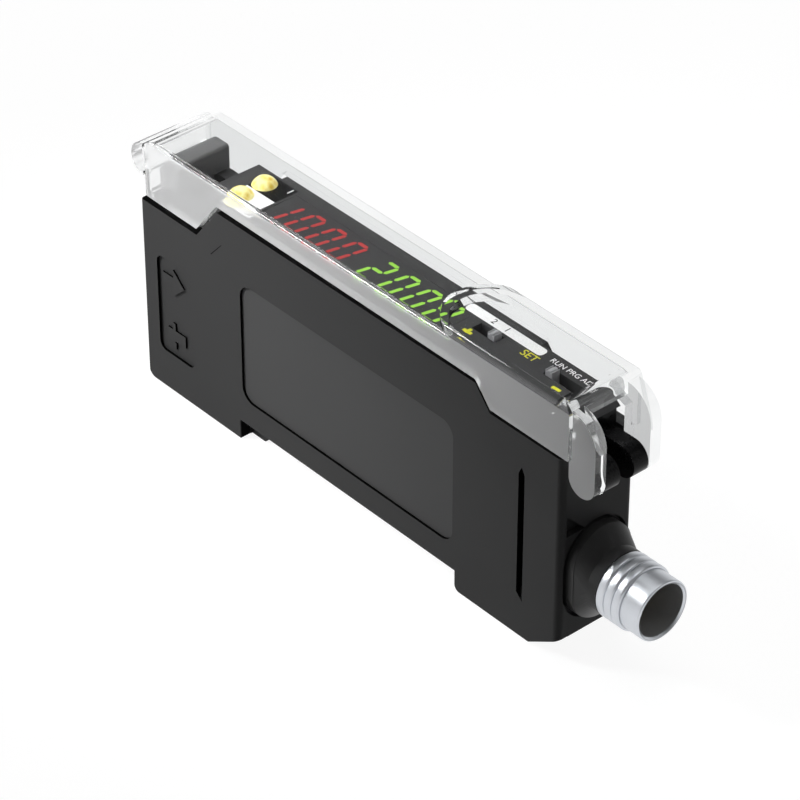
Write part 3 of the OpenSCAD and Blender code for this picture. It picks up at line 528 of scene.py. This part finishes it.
def lettering(name, words, height, place, finish, body):
    """Printed words, centred on their place; height is that of a capital."""
    curve = bpy.data.curves.new(name, "FONT")
    curve.body = words
    curve.align_x = "CENTER"
    curve.align_y = "CENTER"
    curve.size = height / CAPITAL
    curve.extrude = INK / 2
    maker = bpy.data.objects.new(name + "_curve", curve)
    bpy.context.scene.collection.objects.link(maker)
    bpy.context.view_layer.update()
    ready = maker.evaluated_get(bpy.context.evaluated_depsgraph_get())
    mesh = bpy.data.meshes.new_from_object(ready)
    bpy.data.objects.remove(maker)
    mesh.transform(place @ Matrix.Translation((0.0, 0.0, INK / 2)))
    add_piece(name, mesh, finish, body)


# The part's own places
tub_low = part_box("housing_tub")[0]
side_low, side_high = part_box("side_cover")
deck_low, deck_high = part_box("top_deck")
window_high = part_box("display_window")[1]
rocker_low, rocker_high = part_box("rocker_button")
barrel_low, barrel_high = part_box("plug_barrel")
cover_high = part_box("dust_cover")[1]
FIBRE_END = tub_low.x
DECK = deck_high.z

# Depths and heights on the side: its recesses and signs, and the ledge under the clear cover
SIGN_DEEP = 0.3 * MM
SIGN_RISE = 0.2 * MM
DARK_LINE_SHEET = 0.004 * MM
GROOVE_DEEP = 0.95 * MM
OUTLINE_BAND = 1.2 * MM
LEDGE_LOW = DECK - 5.5 * MM

# The clear cover's ears, the socket's inner wall and the hinge lugs
EAR_OUT = 4.4 * MM
COVER_WALL = 1.0 * MM
FAR_WALL = cover_high.y - COVER_WALL
SKIRT_TOP = DECK + 2.9 * MM
SOCKET_R = 3.1 * MM
LUG_ROOT = 1.5 * MM
LUG_TOP = 1.0 * MM

# Shares of a face's normal along an axis: over one of the first three it faces that way, and
# under the last it is a wall
FULLY_FACING = 0.95
FACING = 0.9
RATHER_FACING = 0.5
SIDEWAYS = 0.3


def from_end(x_mm):
    """A distance from the fibre end, as a place along X."""
    return FIBRE_END + x_mm * MM


# Seven-segment digits: which of the segments a to g are lit
SEGMENTS = {"0": "abcdef", "1": "bc", "2": "abdeg"}
DIGIT_W = 1.72 * MM
DIGIT_H = 3.9 * MM
DIGIT_PITCH = 3.42 * MM
DIGIT_LEAN = math.tan(math.radians(12))
DIGIT_Y = -0.26 * MM
STROKE = 0.44 * MM
STROKE_GAP = 0.1 * MM
RED_FIRST = from_end(19.1)
GREEN_FIRST = from_end(34.3)


def stroke_corners(start, end):
    """Outline of one segment: a bar with pointed ends, between two points."""
    a, b = Vector(start), Vector(end)
    along = (b - a).normalized()
    a, b = a + along * STROKE_GAP, b - along * STROKE_GAP
    side = Vector((-along.y, along.x)) * STROKE / 2
    step = along * STROKE / 2
    return [a, a + step - side, b - step - side, b, b - step + side, a + step + side]


def digit(bm, figure, x):
    """The lit segments of one figure, leaning, on the window."""
    w, h = DIGIT_W / 2, DIGIT_H / 2
    ends = {
        "a": ((-w, h), (w, h)), "b": ((w, h), (w, 0)), "c": ((w, 0), (w, -h)),
        "d": ((-w, -h), (w, -h)), "e": ((-w, -h), (-w, 0)), "f": ((-w, 0), (-w, h)),
        "g": ((-w, 0), (w, 0)),
    }
    place = on_deck(x, DIGIT_Y, window_high.z)
    for key in SEGMENTS[figure]:
        corners = [(p.x + DIGIT_LEAN * p.y, p.y) for p in stroke_corners(*ends[key])]
        slab(bm, corners, place, GLOW)


def reading(name, figures, first, finish):
    """A row of lit figures; first is the middle of the first one."""
    bm = bmesh.new()
    for i, figure in enumerate(figures):
        digit(bm, figure, first + i * DIGIT_PITCH)
    add_piece(name, mesh_of(bm, name), finish, "housing")


def make_displays():
    """The red and the green reading."""
    reading("red_reading", "1000", RED_FIRST, "red")
    reading("green_reading", "2000", GREEN_FIRST, "green")


# Printed fields of the lamps: number, field, ink of the number, place across, and the number's place in it
LAMP_FIELDS = (
    (1, "ink_black", "ink_white", 1.6 * MM, 0.9 * MM),
    (2, "ink_white", "ink_black", -1.65 * MM, -0.9 * MM),
)
FIELD_L = 4.6 * MM
FIELD_W = 3.2 * MM
FIELD_AHEAD = 1.2 * MM
NUMBER_AHEAD = 3.0 * MM
NUMBER_H = 0.9 * MM


def make_lamp_fields():
    """Printed fields round the two output lamps, with their numbers."""
    for number, field, ink, y, aside in LAMP_FIELDS:
        low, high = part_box(f"output_lamp_{number}")
        x = (low.x + high.x) / 2
        place = on_deck(x + FIELD_AHEAD, y, DECK)
        plate(f"lamp_field_{number}", bar_corners(FIELD_L, FIELD_W), place, INK, field, "housing")
        mark = on_deck(x + NUMBER_AHEAD, y + aside, DECK + INK)
        lettering(f"lamp_number_{number}", str(number), NUMBER_H, mark, ink, "housing")


# Words and the channel bar on the deck: heights of capitals, and places along and across
SET_H = 1.0 * MM
SET_X = from_end(56.0)
SET_Y = 1.25 * MM
MODE_H = 0.7 * MM
MODE_X = from_end(61.0)
MODE_Y = 2.5 * MM
CHANNEL_L = 11.5 * MM
CHANNEL_W = 1.3 * MM
CHANNEL_ROUND = 0.5 * MM
CHANNEL_X = from_end(51.0)
CHANNEL_Y = 2.65 * MM
CHANNEL_H = 0.8 * MM
CHANNEL_NUMBERS = (("1", from_end(51.2)), ("2", from_end(49.2)))


def make_control_print():
    """Words and marks beside the controls."""
    lettering("set_word", "SET", SET_H, on_deck(SET_X, SET_Y, DECK), "ink_yellow", "housing")
    lettering("mode_words", "RUN PRG ADJ", MODE_H, on_deck(MODE_X, MODE_Y, DECK), "ink_white", "housing")
    plate(
        "channel_field", bar_corners(CHANNEL_L, CHANNEL_W), on_deck(CHANNEL_X, CHANNEL_Y, DECK),
        INK, "ink_white", "housing", rounding=CHANNEL_ROUND,
    )
    for words, x in CHANNEL_NUMBERS:
        mark = on_deck(x, CHANNEL_Y, DECK + INK)
        lettering(f"channel_number_{words}", words, CHANNEL_H, mark, "ink_black", "housing")


# Height over a piece from which print is let down on to it
DROP_FROM = 10.0 * MM


def settle(bm, cad_node, base):
    """Lets print that is drawn at the height base down on to a piece, whatever its form."""
    ground = BVHTree.FromPolygons(*loose_faces(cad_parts[cad_node].data))
    for vert in bm.verts:
        above = vert.co + Vector((0.0, 0.0, DROP_FROM))
        hit = ground.ray_cast(above, Vector((0.0, 0.0, -1.0)))[0]
        if hit:
            vert.co.z += hit.z - base


def loose_faces(mesh):
    """A mesh's points and its faces' numbers of them."""
    return [v.co for v in mesh.vertices], [p.vertices for p in mesh.polygons]


def bar_corners(long, wide):
    """Corners of a bar about its middle."""
    return [(sx * long / 2, sy * wide / 2) for sx, sy in ((1, 1), (-1, 1), (-1, -1), (1, -1))]


# Marks on the rocker's ends: their bars and their places
MARK_L = 1.2 * MM
MARK_W = 0.4 * MM
MARK_Y = (rocker_low.y + rocker_high.y) / 2 + 0.4 * MM
MARKS = (
    ("plus_mark", from_end(49.2), ((MARK_L, MARK_W), (MARK_W, MARK_L))),
    ("minus_mark", from_end(62.4), ((MARK_L, MARK_W),)),
)


def make_rocker_marks():
    """Plus and minus on the rocker's ends."""
    for name, x, bars in MARKS:
        bm = bmesh.new()
        for bar in bars:
            slab(bm, bar_corners(*bar), on_deck(x, MARK_Y, rocker_high.z), INK)
        bmesh.ops.subdivide_edges(bm, edges=bm.edges, cuts=4, use_grid_fill=True)
        settle(bm, "rocker_button", rocker_high.z)
        add_piece(name, mesh_of(bm, name), "ink_yellow", "rocker")


# Outlines on the side, in millimetres from the fibre end and over the feet
LOCK_SIGNS = {
    "arrow_sign": (
        (3.3, 14.2), (5.2, 14.2), (5.2, 13.2), (7.1, 14.92), (5.2, 16.66), (5.2, 15.6), (3.3, 15.6),
    ),
    "padlock_sign": (
        (3.9, 7.05), (7.0, 7.05), (7.0, 8.5), (5.25, 8.5), (5.25, 9.4), (4.75, 9.4), (4.75, 8.5), (3.9, 8.5),
    ),
    "lock_dash": ((5.0, 6.0), (5.3, 6.0), (5.3, 6.85), (5.0, 6.85)),
}
# Outline of a thin near-black line on the side
SIDE_DARK_LINE = ((12.2, 22.4), (12.3, 22.35), (14.15, 24.4), (14.1, 24.45))


def make_lock_signs():
    """Raised arrow and open padlock in the side's recess, with near-black painted shade on their walls, and
    a thin dark line over them.
    """
    floor = side_low.y + SIGN_DEEP
    for name, outline in LOCK_SIGNS.items():
        bm = bmesh.new()
        slab(bm, [(from_end(x), z * MM) for x, z in outline], on_side(0.0, floor, 0.0), SIGN_RISE)
        # The signs' walls take the near-black painted shade.
        for face in bm.faces:
            face.material_index = int(abs(face.normal.y) < RATHER_FACING)
        add_piece(name, mesh_of(bm, name), "case", "housing", others=["recess"])
    # A thin near-black line on the side, drawn as a sheet in the painted-shade finish.
    plate(
        "side_dark_line", [(from_end(x), z * MM) for x, z in SIDE_DARK_LINE],
        on_side(0.0, side_low.y, 0.0), DARK_LINE_SHEET, "recess", "housing",
    )


def in_recess(middle, normal):
    """True for the walls of the side's recesses and for the ledge under the clear cover, which get the
    near-black painted shade.
    """
    wall = middle.y < side_low.y + GROOVE_DEEP and abs(normal.y) < SIDEWAYS
    return (wall and not on_outline(middle)) or on_ledge(middle, normal)


def on_outline(middle):
    """True near the side's bottom and ends, where the case keeps its own finish."""
    low = middle.z < side_low.z + OUTLINE_BAND
    return low or middle.x < side_low.x + OUTLINE_BAND or middle.x > side_high.x - OUTLINE_BAND


def on_ledge(middle, normal):
    """True for the top of the near side wall, which the clear cover's skirt hangs over, and which gets the
    near-black painted shade.
    """
    return normal.z > RATHER_FACING and middle.z > LEDGE_LOW and middle.y < deck_low.y


def through_side(edge):
    """True for an edge of a wall that runs through the side's whole thickness."""
    for face in edge.link_faces:
        depths = [vert.co.y for vert in face.verts]
        if max(depths) - min(depths) > GROOVE_DEEP:
            return True
    return False


def cover_finish(middle, normal):
    """1 (milky haze, a painted reflection) on the near skirt's and near ear's outer faces, 2 (painted shade)
    on the far wall, 3 (painted shade) on the far ear's inner face, and 0 elsewhere."""
    if normal.y < -FULLY_FACING and middle.y < -EAR_OUT:
        return int(middle.z < SKIRT_TOP)
    if normal.y < -FACING and middle.y > 0.0 and middle.x > side_high.x:
        return 3
    return 2 * int(middle.y > FAR_WALL and normal.z < FACING)


def in_far_wall(middle):
    """True in the cover's walls at the far side and at the fibre end."""
    return middle.y > FAR_WALL or middle.x < FIBRE_END + COVER_WALL


def far_edge(edge):
    """True for an edge of the cover's walls at the far side and at the fibre end."""
    return in_far_wall((edge.verts[0].co + edge.verts[1].co) / 2)


def in_socket(middle, normal):
    """True for the barrel's inner wall, which gets a pale grey of painted light."""
    axis = Vector((middle.x, (barrel_low.y + barrel_high.y) / 2, (barrel_low.z + barrel_high.z) / 2))
    return (middle - axis).length < SOCKET_R


def is_lug(middle, normal):
    """True for the hinge lugs and the pocket behind them, which get a near-black painted shade."""
    return middle.x > side_high.x - LUG_ROOT and middle.z < DECK - LUG_TOP


def finish_pieces():
    """Eased copies of the pieces that show, and finishes for all the others."""
    # The ledge under the cover's skirt and the side's recess walls take the near-black painted shade.
    eased("housing_tub", "case_body", "case", "housing", TUB_EASE,
          others=["recess"], picks=on_ledge)
    eased("side_cover", "case_side", "case", "housing", SIDE_EASE,
          eases=through_side, others=["recess"], picks=in_recess)
    # The hinge lugs and the pocket behind them take the near-black painted shade.
    eased("top_deck", "deck_cap", "deck", "housing", DECK_EASE,
          others=["lugs"], picks=is_lug)
    # The darker tints on the far wall, on the far ear's inner face and on the far walls' eased edges paint
    # shade; the near skirt's milky haze is a painted reflection.
    eased("dust_cover", "clear_lid", "cover", "cover", COVER_EASE,
          eases=far_edge, others=["milky_reflection", "far_wall_painted_shade", "far_ear_shade", "edge_painted_shade"],
          picks=cover_finish, rims=in_far_wall, cut=SKIRT_TOP, crisp=COVER_CRISP)
    eased("fibre_clamp_lever", "clamp_lever", "lever", "lever", LEVER_EASE)
    eased("rocker_button", "rocker_key", "deck", "rocker", ROCKER_EASE)
    eased("channel_knob", "channel_slider_knob", "knob", "channel_slider", KNOB_EASE)
    eased("mode_knob", "mode_slider_knob", "knob", "mode_slider", KNOB_EASE)
    # The barrel's inner wall takes a pale grey of painted light.
    eased("plug_barrel", "turned_barrel", "silver", "housing", BARREL_EASE,
          others=["lining_painted_light"], picks=in_socket)
    eased("plug_flange", "cable_flange", "plug", "housing", FLANGE_EASE)
    finishes = {
        "side_label": "label", "display_window": "window", "red_display": "red_cup",
        "green_display": "green_cup", "output_lamp_1": "lamp", "output_lamp_2": "lamp",
        "control_board": "board", "main_board": "board", "controller_chip": "chip",
        "tact_switches": "switch", "set_plunger": "white", "channel_switch": "switch",
        "mode_switch": "switch", "clamp_pivot_pin": "steel", "fibre_block": "case",
        "fibre_grips": "rubber", "light_emitter": "lens", "photodiode": "chip",
        "plug_gasket": "rubber", "contact_insert": "socket", "contact_pins": "gold",
    }
    for cad_node, finish in finishes.items():
        dress(cad_node, finish)


def grey(level):
    """A plain grey."""
    return (level, level, level, 1.0)


# The floor: its half width, its drop under the feet, and its tones for light and for the eye
FLOOR_HALF = 4.0
FLOOR_DROP = 0.05 * MM
FLOOR_MATT = grey(0.2)
FLOOR_SHADED = grey(0.16)
FLOOR_SEEN = 0.92

# The surroundings: their light, and how they look from low over the ground up to overhead
WHITE = grey(1.0)
ROOM_LIGHT = 0.06
ROOM_OVERHEAD = 0.07
ROOM_LOW = 0.05
ROOM_HIGH = 0.55

# Studio lamps: place, aim, power, size and beam
LAMPS = {
    "key_lamp": ((-0.12, -0.1, 0.13), (-0.026, -0.005, 0.028), 0.0225, 0.05, 38.0),
    "top_lamp": ((-0.1, 0.05, 0.6), (0.0, 0.0, 0.016), 1.5, 0.4, 180.0),
    "rim_lamp": ((0.3, 0.27, 0.31), (0.03, 0.0, 0.02), 0.06, 0.15, 180.0),
}


def make_floor():
    """Pale floor: white to the eye, with a soft shadow, and plain to the light that it returns."""
    bm = bmesh.new()
    bmesh.ops.create_grid(bm, x_segments=1, y_segments=1, size=FLOOR_HALF)
    bmesh.ops.translate(bm, verts=bm.verts, vec=(0.0, 0.0, -FLOOR_DROP))
    floor = bpy.data.objects.new("floor", mesh_of(bm, "floor"))
    bpy.context.scene.collection.objects.link(floor)
    paint = bpy.data.materials.new("floor_white")
    paint.use_nodes = True
    tree = paint.node_tree
    tree.nodes.clear()
    out = tree.nodes.new("ShaderNodeOutputMaterial")
    matt = node(tree, "ShaderNodeBsdfDiffuse", Color=FLOOR_MATT)
    seen = node(tree, "ShaderNodeEmission", Color=WHITE, Strength=FLOOR_SEEN)
    soft = node(tree, "ShaderNodeBsdfDiffuse", Color=FLOOR_SHADED)
    both = tree.nodes.new("ShaderNodeAddShader")
    link(tree, seen.outputs[0], both.inputs[0])
    link(tree, soft.outputs[0], both.inputs[1])
    pick = tree.nodes.new("ShaderNodeMixShader")
    link(tree, seen_rays(tree), pick.inputs[0])
    link(tree, matt.outputs[0], pick.inputs[1])
    link(tree, both.outputs[0], pick.inputs[2])
    link(tree, pick.outputs[0], out.inputs["Surface"])
    floor.data.materials.append(paint)


def seen_rays(tree):
    """1 for rays that come from the eye, straight, mirrored or through clear plastic."""
    rays = tree.nodes.new("ShaderNodeLightPath")
    some = maths(tree, "MAXIMUM", rays.outputs["Is Camera Ray"], rays.outputs["Is Glossy Ray"])
    return maths(tree, "MAXIMUM", some, rays.outputs["Is Transmission Ray"])


def make_world():
    """White at eye level and dimmer overhead where it is seen, plain soft light elsewhere."""
    world = bpy.data.worlds.new("studio")
    bpy.context.scene.world = world
    world.use_nodes = True
    tree = world.node_tree
    tree.nodes.clear()
    out = tree.nodes.new("ShaderNodeOutputWorld")
    where = tree.nodes.new("ShaderNodeTexCoord")
    split = tree.nodes.new("ShaderNodeSeparateXYZ")
    link(tree, where.outputs["Generated"], split.inputs[0])
    height = node(
        tree, "ShaderNodeMapRange",
        From_Min=ROOM_LOW, From_Max=ROOM_HIGH, To_Min=1.0, To_Max=ROOM_OVERHEAD,
    )
    link(tree, split.outputs["Z"], height.inputs["Value"])
    shown = node(tree, "ShaderNodeBackground", Color=WHITE)
    link(tree, height.outputs[0], shown.inputs["Strength"])
    light = node(tree, "ShaderNodeBackground", Color=WHITE, Strength=ROOM_LIGHT)
    pick = tree.nodes.new("ShaderNodeMixShader")
    link(tree, seen_rays(tree), pick.inputs[0])
    link(tree, light.outputs[0], pick.inputs[1])
    link(tree, shown.outputs[0], pick.inputs[2])
    link(tree, pick.outputs[0], out.inputs["Surface"])


def make_lamp(name, place, aim, power, size, beam):
    """A soft studio lamp that faces its aim, with a beam of so many degrees."""
    data = bpy.data.lights.new(name, "AREA")
    data.energy = power
    data.size = size
    data.spread = math.radians(beam)
    lamp = bpy.data.objects.new(name, data)
    bpy.context.scene.collection.objects.link(lamp)
    lamp.location = place
    lamp.rotation_mode = "QUATERNION"
    lamp.rotation_quaternion = (Vector(place) - Vector(aim)).to_track_quat("Z", "Y")


def make_camera():
    """The camera, as it stood for the photo."""
    data = bpy.data.cameras.new("camera")
    data.lens = CAMERA_LENS
    data.sensor_width = CAMERA_SENSOR
    camera = bpy.data.objects.new("camera", data)
    bpy.context.scene.collection.objects.link(camera)
    back = Vector((
        math.sin(CAMERA_AZIMUTH) * math.cos(CAMERA_ELEVATION),
        -math.cos(CAMERA_AZIMUTH) * math.cos(CAMERA_ELEVATION),
        math.sin(CAMERA_ELEVATION),
    ))
    camera.location = CAMERA_PLACE
    camera.rotation_mode = "QUATERNION"
    camera.rotation_quaternion = back.to_track_quat("Z", "Y")
    bpy.context.scene.camera = camera


make_camera()
make_world()
make_floor()
for lamp_name, lamp_values in LAMPS.items():
    make_lamp(lamp_name, *lamp_values)
finish_pieces()
make_displays()
make_lamp_fields()
make_control_print()
make_rocker_marks()
make_lock_signs()

bpy.context.scene.view_settings.view_transform = "Standard"
